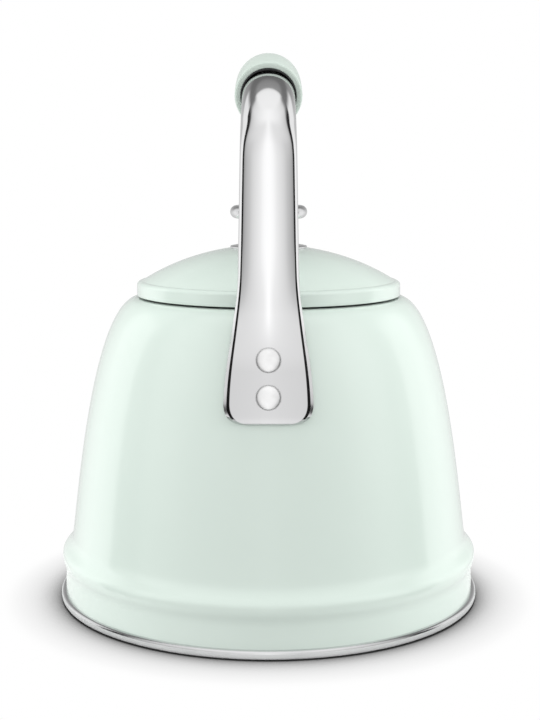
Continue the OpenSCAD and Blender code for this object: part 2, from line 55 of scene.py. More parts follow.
camera_tilt = math.radians(81.56)
focal_length = 68.05
lens = bpy.data.cameras.new("lens")
lens.lens = focal_length
lens.clip_start = 0.01
camera = bpy.data.objects.new("camera", lens)
camera.location = camera_at
camera.rotation_euler = (camera_tilt, 0, 0)
bpy.context.collection.objects.link(camera)
scene = bpy.context.scene
scene.camera = camera
scene.view_settings.view_transform = "Standard"


# ---- studio ----
# A soft tent of light for the gloss: rings of light at three heights, brightest on the camera's side, with
# a dark flag at each side, and a band overhead. Matt surfaces get even light from all round, and the
# camera sees plain white.
def node(tree, kind, **values):
    """One node of a tree. Words set its properties. in_0, in_Scale and so on are its inputs, by number or
    by name: each takes a value, or is linked where the value is another node's output."""
    made = tree.nodes.new(kind)
    for key, value in values.items():
        if not key.startswith("in_"):
            setattr(made, key, value)
            continue
        socket = made.inputs[int(key[3:]) if key[3:].isdigit() else key[3:]]
        if isinstance(value, bpy.types.NodeSocket):
            tree.links.new(value, socket)
        else:
            socket.default_value = value
    return made


def maths(tree, operation, *values):
    """Result of one Math node on numbers or on other nodes' outputs."""
    inputs = {f"in_{place}": value for place, value in enumerate(values)}
    return node(tree, "ShaderNodeMath", operation=operation, **inputs).outputs[0]


def ramp(tree, source, stops):
    """Grey ramp over a source from 0 to 1. Each stop is (place, grey)."""
    made = node(tree, "ShaderNodeValToRGB", in_0=source)
    band = made.color_ramp.elements
    while len(band) < len(stops):
        band.new(0.5)
    for element, (place, grey) in zip(band, stops):
        element.position = place
        element.color = (grey, grey, grey, 1)
    return made.outputs[0]


def both_sides(stops):
    """Stops of a ramp round the kettle, from degrees off the camera, alike to left and right."""
    right = [(0.5 + degrees / 360, grey) for degrees, grey in stops]
    left = [(0.5 - degrees / 360, grey) for degrees, grey in reversed(stops)]
    return left + right


def blend_over(tree, height, low, high, start, end):
    """Light that goes from low to high between two heights above the horizon, in degrees."""
    share = node(tree, "ShaderNodeMapRange", interpolation_type="SMOOTHSTEP", in_0=height,
                 in_1=math.radians(start), in_2=math.radians(end))
    made = node(tree, "ShaderNodeMix", data_type="RGBA", in_0=share.outputs[0], in_6=low, in_7=high)
    return made.outputs[2]


# The rings' stops go by degrees off the camera, and the band's from the camera's side, 0, to the far side.
low_ring = [(0, 1.28), (4, 1.18), (8, 1.05), (15, 0.95), (26, 0.82), (39, 0.64), (60, 0.5), (77, 0.36),
            (80, 0.01), (99, 0.01), (102, 1.1), (124, 1.1), (145, 0.8), (170, 0.65)]
mid_ring = [(0, 1.15), (6, 1.03), (13, 0.94), (30, 0.9), (45, 0.85), (64, 0.75), (78, 0.6), (84, 0.02),
            (98, 0.02), (101, 1.0), (128, 0.9), (136, 0.35), (180, 0.3)]
high_ring = [(0, 1.15), (20, 1.1), (45, 1.0), (70, 0.87), (80, 0.75), (90, 0.3), (97, 0.2), (180, 0.15)]
top_band = [(0.0, 1.0), (0.3, 1.05), (0.5, 1.0), (0.54, 0.85), (0.56, 0.33), (0.69, 0.28), (0.82, 0.14)]
even_light = 0.575
white = 1.0
tent = bpy.data.worlds.new("tent")
scene.world = tent
tent.use_nodes = True
sky = tent.node_tree
sky.nodes.clear()
split = node(sky, "ShaderNodeSeparateXYZ", in_0=node(sky, "ShaderNodeTexCoord").outputs["Generated"])
around = maths(sky, "ARCTAN2", split.outputs[0], maths(sky, "MULTIPLY", split.outputs[1], -1.0))
turn = node(sky, "ShaderNodeMapRange", in_0=around, in_1=-math.pi, in_2=math.pi)
rise = maths(sky, "ARCSINE", split.outputs[2])
depth = node(sky, "ShaderNodeMapRange", in_0=split.outputs[1], in_1=-1.0, in_2=1.0)
# Each ring takes over from the one below it between two heights, in degrees.
tent_light = ramp(sky, turn.outputs[0], both_sides(low_ring))
for ring, start, end in ((mid_ring, -9, 27), (high_ring, 28, 42)):
    upper_light = ramp(sky, turn.outputs[0], both_sides(ring))
    tent_light = blend_over(sky, rise, tent_light, upper_light, start, end)
tent_light = blend_over(sky, rise, tent_light, ramp(sky, depth.outputs[0], top_band), 50, 62)
chosen = node(sky, "ShaderNodeBackground", in_0=tent_light)
sky_paths = node(sky, "ShaderNodeLightPath")
for rays, strength in (("Is Diffuse Ray", even_light), ("Is Camera Ray", white)):
    plain = node(sky, "ShaderNodeBackground", in_0=(1, 1, 1, 1), in_1=strength)
    chosen = node(sky, "ShaderNodeMixShader", in_0=sky_paths.outputs[rays], in_1=chosen.outputs[0],
                  in_2=plain.outputs[0])
node(sky, "ShaderNodeOutputWorld", in_0=chosen.outputs[0])
# Sampled as a lamp, the world would light matt surfaces with the rings too, so it isn't sampled.
tent.cycles.sampling_method = "NONE"

# Three large soft lamps fill from above and from both sides. Gloss doesn't show them.
lamp_aim = Vector((0, 0, 0.1))
lamp_size = 1.0
lamp_power = 10
for name, place in (("top_lamp", (0, 0.36, 1.2)), ("left_lamp", (-1.1, -0.3, 0.3)),
                    ("right_lamp", (1.1, -0.3, 0.3))):
    lamp = bpy.data.lights.new(name, "AREA")
    lamp.size = lamp_size
    lamp.energy = lamp_power
    lamp_stand = bpy.data.objects.new(name, lamp)
    lamp_stand.location = place
    lamp_stand.rotation_euler = (lamp_aim - Vector(place)).to_track_quat("-Z", "Y").to_euler()
    lamp_stand.visible_glossy = False
    bpy.context.collection.objects.link(lamp_stand)


# ---- floor ----
# A wide white table top. The camera sees it glow plain white, with a painted shadow where the kettle
# shuts it in. To the kettle it is a grey card, of which gloss sees only the part near the base. It is clear
# from below, and to the underside's first short step of light, so that the underside isn't black.
def material(name, **sockets):
    """A new material. Each word is a socket of its one Principled shader, with _ for a space."""
    made = bpy.data.materials.new(name)
    made.use_nodes = True
    look = made.node_tree.nodes["Principled BSDF"]
    for socket, value in sockets.items():
        look.inputs[socket.replace("_", " ")].default_value = value
    return made, made.node_tree, look


floor_reach = 12
near_floor = 0.13
shade_reach = 0.03
contact_gap = 0.0006
floor_drop = 0.00005
card_for_matt = 0.5
card_for_gloss = 0.8
white_card, card, card_look = material("white_card")
card.nodes.remove(card_look)
card_paths = node(card, "ShaderNodeLightPath")
# Painted shadow: the camera sees a glow darkened by a ramp of how open each point of the floor is.
openness = node(card, "ShaderNodeAmbientOcclusion", samples=16, in_Distance=shade_reach)
shade = ramp(card, openness.outputs["AO"], [(0.3, 0.02), (0.5, 0.06), (0.57, 0.27), (0.64, 0.5), (0.71, 0.67),
                                            (0.77, 0.78), (0.85, 0.88), (0.98, 0.985), (1.0, 1.0)])
seen = node(card, "ShaderNodeEmission", in_0=shade)
pale = node(card, "ShaderNodeMapRange", in_0=card_paths.outputs["Is Glossy Ray"], in_3=card_for_matt,
            in_4=card_for_gloss)
lit = node(card, "ShaderNodeBsdfDiffuse", in_0=pale.outputs[0])
matt = node(card, "ShaderNodeMixShader", in_0=card_paths.outputs["Is Camera Ray"], in_1=lit.outputs[0],
            in_2=seen.outputs[0])
away = node(card, "ShaderNodeVectorMath", operation="LENGTH",
            in_0=node(card, "ShaderNodeTexCoord").outputs["Object"])
far = maths(card, "GREATER_THAN", away.outputs["Value"], near_floor)
unseen = maths(card, "MULTIPLY", far, card_paths.outputs["Is Glossy Ray"])
close = maths(card, "LESS_THAN", card_paths.outputs["Ray Length"], contact_gap)
under = maths(card, "MAXIMUM", node(card, "ShaderNodeNewGeometry").outputs["Backfacing"], close)
mixed = node(card, "ShaderNodeMixShader", in_0=maths(card, "MAXIMUM", unseen, under), in_1=matt.outputs[0],
             in_2=node(card, "ShaderNodeBsdfTransparent").outputs[0])
card.links.new(mixed.outputs[0], card.nodes["Material Output"].inputs[0])
floor_mesh = bpy.data.meshes.new("floor")
floor_mesh.from_pydata([(-floor_reach, -floor_reach, 0), (floor_reach, -floor_reach, 0),
                        (floor_reach, floor_reach, 0), (-floor_reach, floor_reach, 0)], [], [(0, 1, 2, 3)])
floor_mesh.materials.append(white_card)
floor = bpy.data.objects.new("floor", floor_mesh)
floor.location = (0, 0, -floor_drop)
bpy.context.collection.objects.link(floor)


# ---- base cap ----
# A shallow dish of magnetic steel, pressed over the aluminium heat disc so that the kettle heats
# on any stove. Its underside is turned on a lathe to a fine circular grain with a shallow centre.
MM = 0.001


def corners(*names):
    """Lowest and highest corner of the named nodes together, in millimetres."""
    boxes = np.array([[tuple(c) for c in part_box(name)] for name in names]) / MM
    return boxes[:, 0].min(axis=0), boxes[:, 1].max(axis=0)


def numbered(points):
    """Vertex numbers of a grid of points. A row whose points coincide shares one number."""
    index = np.arange(points.shape[0] * points.shape[1]).reshape(points.shape[:2])
    shut = np.ptp(points, axis=1).max(axis=1) < 1e-6
    index[shut] = index[shut][:, :1]
    return index


def cells(index, rows_join=False, columns_join=True):
    """Quads of a grid of vertex numbers. The last row or column may join the first."""
    below = np.roll(index, -1, axis=0)
    quads = np.stack([index, np.roll(index, -1, axis=1), np.roll(below, -1, axis=1), below], axis=-1)
    quads = quads if rows_join else quads[:-1]
    quads = quads if columns_join else quads[:, :-1]
    return quads.reshape(-1, 4)


def shell(name, *parts, sharp=32):
    """Closed mesh of one or more (points in millimetres, quads). A quad with two equal numbers becomes
    a triangle and unused points drop out. Faces are turned outwards: the sum over the faces of the
    tetrahedra to the origin is the volume, which has to be positive."""
    places = []
    faces = []
    for points, quads in parts:
        place = points.reshape(-1, 3)
        a, b, c, d = (place[quads[:, k]] for k in range(4))
        volume = np.sum(a * np.cross(b, c)) + np.sum(a * np.cross(c, d))
        faces.append((quads if volume > 0 else quads[:, ::-1]) + sum(len(p) for p in places))
        places.append(place)
    used, quads = np.unique(np.concatenate(faces), return_inverse=True)
    quads = quads.reshape(-1, 4)
    tip = quads[:, 0] == quads[:, 1]
    toe = quads[:, 2] == quads[:, 3]
    mesh = bpy.data.meshes.new(name)
    mesh.from_pydata(np.concatenate(places)[used] * MM, [],
                     quads[~tip & ~toe].tolist() + quads[tip, 1:].tolist() + quads[toe, :3].tolist())
    mesh.shade_smooth()
    mesh.set_sharp_from_angle(angle=math.radians(sharp))
    made = bpy.data.objects.new(name, mesh)
    bpy.context.collection.objects.link(made)
    return made


def turned(outline, columns=192):
    """Surface of revolution of an outline of (radius, height): x = r sin a, y = -r cos a, z = h. An
    outline that doesn't start on the axis is closed on itself."""
    outline = np.asarray(outline, float)
    a = np.linspace(0, 2 * np.pi, columns, endpoint=False)
    r, h = outline[:, :1], outline[:, 1:]
    points = np.stack([r * np.sin(a), -r * np.cos(a), h + 0 * a], axis=-1)
    return points, cells(numbered(points), rows_join=outline[0, 0] > 0)


def rounded(places, radii, hold=0.4, steps=5):
    """Outline through places. Each turns on an arc of its radius, whose centre lies on the corner's
    bisector at radius / sin(half its angle). Points just before and after an arc hold the flats."""
    places = np.asarray(places, float)
    line = []
    for k, radius in enumerate(radii):
        if radius == 0:
            line.append(places[k])
            continue
        ways = [places[k - 1] - places[k], places[(k + 1) % len(places)] - places[k]]
        reach = [np.linalg.norm(way) for way in ways]
        u, v = ways[0] / reach[0], ways[1] / reach[1]
        half = np.arccos(np.clip(u @ v, -1, 1)) / 2
        cut = radius / np.tan(half)
        middle = places[k] + (u + v) / np.linalg.norm(u + v) * radius / np.sin(half)
        first, last = places[k] + u * cut - middle, places[k] + v * cut - middle
        bend = np.pi - 2 * half
        share = np.linspace(0, 1, steps + 1)[:, None]
        arc = middle + (np.sin((1 - share) * bend) * first + np.sin(share * bend) * last) / np.sin(bend)
        line.append(places[k] + u * (cut + min(hold, 0.3 * (reach[0] - cut))))
        line.extend(arc)
        line.append(places[k] + v * (cut + min(hold, 0.3 * (reach[1] - cut))))
    return np.array(line)


def grain(tree, scale, stretch=(1, 1, 1), detail=3.0):
    """Cloudy noise on the piece's own coordinates, its scale per metre, stretched along each axis."""
    place = node(tree, "ShaderNodeMapping", in_0=node(tree, "ShaderNodeTexCoord").outputs["Object"],
                 in_Scale=stretch)
    made = node(tree, "ShaderNodeTexNoise", in_0=place.outputs[0], in_Scale=scale, in_Detail=detail)
    return made.outputs[0]


def spread(tree, source, low, high):
    """The middle of a noise laid out from low to high."""
    made = node(tree, "ShaderNodeMapRange", in_0=source, in_1=0.3, in_2=0.7, in_3=low, in_4=high)
    return made.outputs[0]


def tint(tree, source, pale, deep):
    """Colour that goes from pale to deep with a noise."""
    made = node(tree, "ShaderNodeMix", data_type="RGBA", in_0=spread(tree, source, 0, 1), in_6=(*pale, 1),
                in_7=(*deep, 1))
    return made.outputs[2]


def finish(tree, look, colour, roughness, *layers):
    """Links a material's colour, its roughness and its bumps, one over the other. Each layer of bumps is
    (height source, depth in millimetres)."""
    tree.links.new(colour, look.inputs["Base Color"])
    tree.links.new(roughness, look.inputs["Roughness"])
    under = None
    for source, depth_mm in layers:
        made = node(tree, "ShaderNodeBump", in_Distance=depth_mm * MM, in_Height=source)
        if under:
            tree.links.new(under, made.inputs["Normal"])
        under = made.outputs[0]
    if under:
        tree.links.new(under, look.inputs["Normal"])


def rings(tree, scale):
    """Noise that follows only the distance from the Z axis, as a lathe leaves it."""
    flat = node(tree, "ShaderNodeVectorMath", operation="MULTIPLY",
                in_0=node(tree, "ShaderNodeTexCoord").outputs["Object"], in_1=(1, 1, 0))
    out = node(tree, "ShaderNodeVectorMath", operation="LENGTH", in_0=flat.outputs[0])
    made = node(tree, "ShaderNodeTexNoise", noise_dimensions="1D", in_W=out.outputs["Value"],
                in_Scale=scale, in_Detail=4)
    return made.outputs[0]


def wear(obj, look, body, slot, *nodes):
    """Gives a new piece its material and body, and hides the nodes that it stands for. slot is not used."""
    obj.data.materials.append(look)
    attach(obj, body)
    if nodes:
        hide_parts(*nodes)


cap_high = corners("base_cap")[1]
cap_t = 0.6
cap_r = cap_high[0]
hollow_r = 30
hollow_depth = 0.25
turned_steel, tree, look = material("turned_steel", Metallic=1.0, Anisotropic=0.4)
finish(tree, look, tint(tree, rings(tree, 900), (0.56, 0.565, 0.57), (0.45, 0.455, 0.46)),
       spread(tree, rings(tree, 400), 0.24, 0.38), (rings(tree, 1500), 0.02), (grain(tree, 300), 0.006))
dish = rounded([(0, hollow_depth), (hollow_r - 2, hollow_depth), (hollow_r, 0), (cap_r, 0),
                (cap_r, cap_high[2]), (cap_r - cap_t, cap_high[2]), (cap_r - cap_t, cap_t), (0, cap_t)],
               [0, 2, 2, 0.5, 0.2, 0.2, 0.1, 0])
base_dish = shell("pressed_base_dish", turned(dish))
wear(base_dish, turned_steel, "kettle", "steel", "base_cap")

# ---- heat disc ----
# A disc of aluminium bonded between the cap and the pan. It spreads the stove's heat, and
# nothing of it shows.
cast_aluminium, tree, look = material("cast_aluminium", Metallic=1.0)
finish(tree, look, tint(tree, grain(tree, 200), (0.72, 0.72, 0.72), (0.6, 0.6, 0.61)),
       spread(tree, grain(tree, 800), 0.4, 0.6))


def dress(look, *names):
    """Gives nodes of the frame a material in every slot."""
    for name in names:
        mesh = frame["nodes"][name].data
        mesh.materials.clear()
        mesh.materials.append(look)


dress(cast_aluminium, "heat_disc")

# ---- base pan ----
# The kettle's inner bottom, a stainless dish whose flange stands up inside the body wall, where it
# is rolled tight. Water stands on it, so it is left as satin steel.
pan_low, pan_high = corners("base_pan")
pan_t = 0.8
pan_r = pan_high[0]
satin_steel, tree, look = material("satin_steel", Metallic=0.92)
finish(tree, look, tint(tree, grain(tree, 60, detail=6), (0.8, 0.795, 0.78), (0.7, 0.7, 0.69)),
       spread(tree, grain(tree, 500, stretch=(1, 1, 0.1)), 0.26, 0.4),
       (grain(tree, 900, stretch=(1, 1, 0.15)), 0.008))
pan_line = rounded([(0, pan_low[2]), (pan_r, pan_low[2]), (pan_r, pan_high[2]), (pan_r - pan_t, pan_high[2]),
                    (pan_r - pan_t, pan_low[2] + pan_t), (0, pan_low[2] + pan_t)],
                   [0, 1.2, 0.3, 0.3, 2, 0])
inner_pan = shell("flanged_inner_pan", turned(pan_line))
wear(inner_pan, satin_steel, "kettle", "steel", "base_pan")

# ---- base ring ----
# A ring of polished stainless steel that frames the base. It is rolled to a rounded band, the body
# wall stands on its ledge, and it clears the stove by a hair.
ring_low, ring_high = corners("base_ring")
ring_r, ring_h = ring_high[0], ring_high[2]
# Pieces that are pressed together have a hair of room between them.
fit = 0.05
ring_bore = pan_r + fit
ring_line = rounded([(ring_bore, ring_low[2]), (ring_r, ring_low[2]), (ring_r, ring_h), (ring_bore, ring_h)],
                    [0.3, 1.4, 1.4, 0.1], steps=9)
bright_steel, tree, look = material("bright_steel", Metallic=1.0, Anisotropic=0.25)
finish(tree, look, tint(tree, grain(tree, 40, detail=5), (0.74, 0.74, 0.745), (0.66, 0.665, 0.67)),
       spread(tree, grain(tree, 700, stretch=(1, 1, 8)), 0.13, 0.2),
       (grain(tree, 1200, stretch=(0.4, 0.4, 6)), 0.004))
rolled_ring = shell("rolled_base_ring", turned(ring_line, columns=384))
wear(rolled_ring, bright_steel, "kettle", "chrome", "base_ring")

# ---- body ----
# One deep-drawn shell of thin steel, enamelled pale green outside and bare inside. A groove and a
# rolled bead stiffen its foot, the wall leans in to a soft shoulder with a flat ledge, and the
# neck turns down inside it. A hole is pierced for the spout.
ring_ledge = 1.95
groove_in = 0.45
groove_h = 12.6
bead_out = 1.45
bead_h = 20.5
bead_step = 4.65
wall_h = 29
wall_lean = math.radians(9.15)
wall_pull = 13.3
shoulder_slope = math.radians(8.2)
shoulder_pull = 20.3
neck_ledge = 5.25
neck_depth = 8.5
neck_round = 1.2
wall_rows = 84
wall_t = 0.8
body_h = corners("body_shell")[1][2]
shoulder_r = corners("lid_shell")[1][0] + 0.15
skirt_r = ring_r - ring_ledge
groove_r = skirt_r - groove_in
bead_r = groove_r + bead_out
neck_r = shoulder_r - neck_ledge


def bezier(a, b, c, d, count):
    """Cubic curve from a to d that leaves towards b and arrives from c: the four weights are the terms
    of ((1 - t) + t) cubed."""
    t = np.linspace(0, 1, count + 1)[:, None]
    a, b, c, d = (np.array(p, float) for p in (a, b, c, d))
    return (1 - t) ** 3 * a + 3 * (1 - t) ** 2 * t * b + 3 * (1 - t) * t ** 2 * c + t ** 3 * d


def even(line, count):
    """The same line with its points at equal steps of its length."""
    length = np.concatenate([[0], np.cumsum(np.linalg.norm(np.diff(line, axis=0), axis=1))])
    steps = np.linspace(0, length[-1], count + 1)
    return np.stack([np.interp(steps, length, line[:, k]) for k in (0, 1)], axis=-1)


def set_in(line, depth):
    """The line moved sideways by depth, to the left of its direction."""
    way = np.gradient(line, axis=0)
    way /= np.linalg.norm(way, axis=1, keepdims=True)
    return line + depth * np.stack([-way[:, 1], way[:, 0]], axis=-1)


def quarter(centre, radius, start, end, steps=8):
    """Arc of a circle between two angles in degrees."""
    a = np.radians(np.linspace(start, end, steps + 1))
    return np.array(centre) + radius * np.stack([np.cos(a), np.sin(a)], axis=-1)


lean_way = np.array([-math.sin(wall_lean), math.cos(wall_lean)])
wall_foot = np.array([bead_r - bead_step, wall_h])
shoulder = np.array([shoulder_r, body_h])
groove_mid = (groove_h + bead_h) / 2
bead_pull = (wall_h - bead_h) * 0.37
skirt_line = bezier((groove_r, groove_h), (groove_r, groove_mid), (bead_r, groove_mid), (bead_r, bead_h), 12)
bead_line = bezier((bead_r, bead_h), (bead_r, bead_h + bead_pull), wall_foot - lean_way * bead_pull * 1.5,
                   wall_foot, 14)
wall_line = even(bezier(wall_foot, wall_foot + lean_way * wall_pull,
                        shoulder + shoulder_pull * np.array([math.cos(shoulder_slope),
                                                             -math.sin(shoulder_slope)]),
                        shoulder, 400), wall_rows)
foot_line = np.array([(skirt_r, ring_h), (skirt_r - groove_in * 0.1, ring_h + 0.6),
                      (skirt_r - groove_in * 0.5, (ring_h + groove_h) / 2)])
neck_line = np.concatenate([[(neck_r + neck_round + 1.5, body_h)],
                            quarter((neck_r + neck_round, body_h - neck_round), neck_round, 90, 180),
                            [(neck_r, body_h - neck_round - 1), (neck_r, body_h - neck_depth)]])
outer_line = np.concatenate([foot_line, skirt_line, bead_line[1:], wall_line[1:], neck_line])
inner_line = set_in(outer_line, wall_t)
inner_line[[0, -1], 1] = outer_line[[0, -1], 1]


def wall_r(h):
    """Radius of the wall's outside at a height."""
    return np.interp(h, wall_line[:, 1], wall_line[:, 0])


spout_axis = np.array(next(j["axis"] for j in frame["joints"] if j["name"] == "whistle_pull"))
spout_across = np.array([1, 0, 0])
spout_up = np.cross(spout_across, spout_axis)
spout_root_h = 60
spout_root = np.array([0, wall_r(spout_root_h), spout_root_h])
spout_len = 69.6
spout_root_r = 15.5
spout_tip_r = 12.5
spout_t = 0.8


def spout_r(w):
    """Outside radius of the spout at a distance along its axis."""
    return spout_tip_r + (spout_root_r - spout_tip_r) * (1 - w / spout_len)


def round_spout(a, w, grow=0):
    """Points on the spout's straight side, grown outwards, at the angles a round it and the distances w
    along its axis."""
    r = spout_r(w) + grow
    return (spout_root + np.outer(np.cos(a) * r, spout_across) + np.outer(np.sin(a) * r, spout_up)
            + np.outer(w, spout_axis))


def meets_wall(a, grow, line):
    """Where the spout's side, grown outwards, passes through a wall line at the angles a. The distance
    along it is halved in on, 40 times, between two sides of the wall."""
    low, high = np.full(a.shape, -45.0), np.full(a.shape, 45.0)
    order = np.argsort(line[:, 1])
    for _ in range(40):
        mid = (low + high) / 2
        place = round_spout(a, mid, grow)
        inside = np.hypot(place[:, 0], place[:, 1]) < np.interp(place[:, 2], line[order, 1], line[order, 0])
        low, high = np.where(inside, mid, low), np.where(inside, high, mid)
    return round_spout(a, low, grow), low


columns = 288
hole_fade = 1.45
half_rows, half_columns = 15, 9
middle_column = columns // 2
middle_row = int(np.argmin(abs(outer_line[:, 1] - spout_root_h)))


def body_surface(line):
    """Rows of the body wall. Round the spout's hole the grid of angle and height is drawn aside: a square
    of cells opens into the hole's outline, and the move fades out a little further off. m is the
    distance from the hole's middle, 1 on the square's edge."""
    table = line[:len(line) - len(neck_line)]
    v = (np.arange(len(line))[:, None] - middle_row) / half_rows + np.zeros(columns)
    u = (np.arange(columns) - middle_column) / half_columns + np.zeros((len(line), 1))
    m = np.maximum(np.abs(u), np.abs(v))
    angle = np.tile(np.arange(columns) * 2 * np.pi / columns, (len(line), 1))
    height = np.repeat(line[:, 1:], columns, axis=1)
    radius = np.repeat(line[:, :1], columns, axis=1)
    near = (m < hole_fade) & (m > 0)
    edge, _ = meets_wall(np.arctan2(v[near], -u[near]), -spout_t, table)
    fade = (np.maximum(m[near], 1) - 1) / (hole_fade - 1)
    far_angle = np.pi + u[near] / m[near] * hole_fade * half_columns * 2 * np.pi / columns
    far_row = middle_row + v[near] / m[near] * hole_fade * half_rows
    far_height = np.interp(far_row, np.arange(len(line)), line[:, 1])
    edge_angle = np.pi - np.arctan2(edge[:, 0], edge[:, 1])
    angle[near] = edge_angle + (far_angle - edge_angle) * fade
    height[near] = edge[:, 2] + (far_height - edge[:, 2]) * fade
    radius[near] = np.interp(height[near], table[:, 1], table[:, 0])
    return np.stack([radius * np.sin(angle), -radius * np.cos(angle), height], axis=-1), m


def square_edge(row, column, rows, columns):
    """Row and column numbers round the edge of a square of cells, in the order of its corners."""
    across, down = np.arange(-columns, columns), np.arange(-rows, rows)
    return (row + np.concatenate([0 * across - rows, down, 0 * across + rows, -down]),
            column + np.concatenate([across, 0 * down + columns, -across, 0 * down - columns]))


outer_wall, m = body_surface(outer_line)
inner_wall, _ = body_surface(inner_line)
wall = np.concatenate([outer_wall, inner_wall[::-1]])
index = numbered(wall)
m = np.concatenate([m, m[::-1]]).ravel()
quads = cells(index, rows_join=True)
quads = quads[m[quads].max(axis=1) > 1.001]
edge = square_edge(middle_row, middle_column, half_rows, half_columns)
outside = index[:len(outer_line)][edge]
inside = index[len(outer_line):][::-1][edge]
quads = np.concatenate([quads, cells(np.stack([outside, inside]))])
body_wall = shell("drawn_body_wall", (wall, quads), sharp=50)

enamel, tree, look = material("pale_green_enamel", Coat_Weight=0.8, Coat_Roughness=0.06, Coat_IOR=1.5)
finish(tree, look, tint(tree, grain(tree, 14, detail=5), (0.727, 0.83, 0.766), (0.708, 0.813, 0.748)),
       spread(tree, grain(tree, 60), 0.23, 0.26), (grain(tree, 260, detail=1), 0.003),
       (grain(tree, 1500), 0.001))
wear(body_wall, enamel, "kettle", "green_enamel", "body_shell")


def bare(obj, faces):
    """Leaves these faces of an enamelled piece as satin steel. faces is true or false for each face."""
    obj.data.materials.append(satin_steel)
    obj.data.polygons.foreach_set("material_index", faces.astype(int))


# The enamel ends where the neck has turned down.
bare_row = len(outer_line) - 6
bare(body_wall, quads.min(axis=1) // columns >= bare_row)

# ---- spout ----
# A straight tapered tube of thin steel, welded over the hole in the wall and enamelled with it, so
# that the glaze fills the seam with a small fillet. It is bare inside and rolled at its tip.
fillet = 3.6


def along_spout(points):
    """Carries points from the spout's own frame, with its root at the origin and its axis up, to the
    wall."""
    return (spout_root + points[..., :1] * spout_across - points[..., 1:2] * spout_up
            + points[..., 2:] * spout_axis)


outer_table = outer_line[:-len(neck_line)]
inner_table = inner_line[:-len(neck_line)]
a = np.linspace(0, 2 * np.pi, columns, endpoint=False)
corner_place, corner_at = meets_wall(a, 0, outer_table)
foot_place, _ = meets_wall(a, fillet, outer_table)
sunk_place, _ = meets_wall(a, fillet, inner_table * 0.5 + outer_table * 0.5)
_, bore_at = meets_wall(a, -spout_t, inner_table * 0.5 + outer_table * 0.5)
rise_place = round_spout(a, corner_at + fillet)
t = np.linspace(0, 1, 9)[:, None, None]
seam = (1 - t) ** 2 * foot_place + 2 * (1 - t) * t * corner_place + t ** 2 * rise_place
tube_end = spout_len - 0.01
up = np.linspace(0, 1, 26)
outer_tube = np.stack([round_spout(a, corner_at + fillet + (tube_end - corner_at - fillet) * k)
                       for k in up[1:]])
inner_tube = np.stack([round_spout(a, bore_at + (tube_end - bore_at) * k, -spout_t) for k in up[::-1]])
tube = np.concatenate([sunk_place[None], seam, outer_tube, inner_tube])
spout_tube = shell("tapered_spout_tube", (tube, cells(numbered(tube), rows_join=True)), sharp=50)
wear(spout_tube, enamel, "kettle", "green_enamel", "spout")
bare(spout_tube, np.arange(len(tube)).repeat(columns) >= len(tube) - len(inner_tube))

# ---- spout lip ----
# A rolled ring of polished steel that closes the spout's tip. The whistle seats on its rim.
lip_r = 13.9
lip_h = 3
tip_bore = spout_tip_r - spout_t


def at_tip(part):
    """Carries a turned part, made upright at the origin, to the spout's tip."""
    points, quads = part
    return along_spout(points + np.array([0, 0, spout_len])), quads


lip_line = rounded([(tip_bore, 0), (lip_r, 0), (lip_r, lip_h), (tip_bore, lip_h)],
                   [0, 1.1, 1.3, 0.5], steps=7)
spout_ring = shell("rolled_spout_lip", at_tip(turned(lip_line)))
wear(spout_ring, bright_steel, "kettle", "chrome", "spout_lip")

# ---- whistle ----
# A cap of bright steel that plugs into the spout on a rubber seal. Two small discs with a hole each
# stand in its drum and whistle when steam passes, and a ribbed black grip keeps the fingers cool.
whistle_t = 0.8
plug_depth = 9
seal_r = tip_bore - 0.1
seal_t = 1
seal_len = 4
plug_r = seal_r - seal_t
flange_z = lip_h + 0.1
drum_z = flange_z + whistle_t
drum_h = 10
drum_r = plug_r + whistle_t / 2
whistle_grip_r = 15.5
grip_grooves = 12
cap_line = rounded([(plug_r - whistle_t, -plug_depth), (plug_r, -plug_depth), (plug_r, flange_z),
                    (lip_r, flange_z), (lip_r, drum_z), (drum_r, drum_z), (drum_r, drum_z + drum_h),
                    (drum_r - whistle_t, drum_z + drum_h), (drum_r - whistle_t, drum_z),
                    (plug_r - whistle_t, drum_z)],
                   [0.3, 0.3, 0.2, 0.35, 0.35, 0.1, 0.35, 0.35, 0, 0], steps=4)
whistle_body = shell("whistle_cap_body", at_tip(turned(cap_line)))
wear(whistle_body, bright_steel, "whistle", "chrome", "whistle_cap")

seal_low = 2 - plug_depth
seal_line = rounded([(plug_r + fit, seal_low), (seal_r, seal_low), (seal_r, seal_low + seal_len),
                     (plug_r + fit, seal_low + seal_len)],
                    [0.1, 0.45, 0.45, 0.1])
soft_rubber, tree, look = material("soft_black_rubber", Specular_IOR_Level=0.4)
finish(tree, look, tint(tree, grain(tree, 300), (0.024, 0.024, 0.026), (0.014, 0.014, 0.015)),
       spread(tree, grain(tree, 900), 0.45, 0.62), (grain(tree, 2500), 0.02))
whistle_ring = shell("whistle_seal_ring", at_tip(turned(seal_line)))
wear(whistle_ring, soft_rubber, "whistle", "black_rubber", "whistle_seal")

groove_depth = 1.0
hold_top = drum_z + drum_h - 1.5
hold_line = rounded([(drum_r + fit, drum_z), (whistle_grip_r, drum_z), (whistle_grip_r, hold_top),
                     (drum_r + fit, hold_top)], [0.1, 1.2, 1.2, 0.6], hold=1.2)
points, quads = turned(hold_line, columns=240)
from_axis = np.hypot(points[..., 0], points[..., 1])
wave = np.cos(np.arctan2(points[..., 1], points[..., 0]) * grip_grooves)
groove = groove_depth * np.clip(wave * 1.7 - 0.7, 0, 1) ** 1.3
share = np.clip((from_axis - drum_r - 1.5) / (whistle_grip_r - drum_r - 1.5), 0, 1)
points[..., :2] *= (1 - groove * share / from_axis)[..., None]
moulded_black, tree, look = material("moulded_black_plastic", Specular_IOR_Level=0.5)
finish(tree, look, tint(tree, grain(tree, 200), (0.022, 0.022, 0.023), (0.016, 0.016, 0.017)),
       spread(tree, grain(tree, 1200), 0.32, 0.42), (grain(tree, 1800), 0.03))
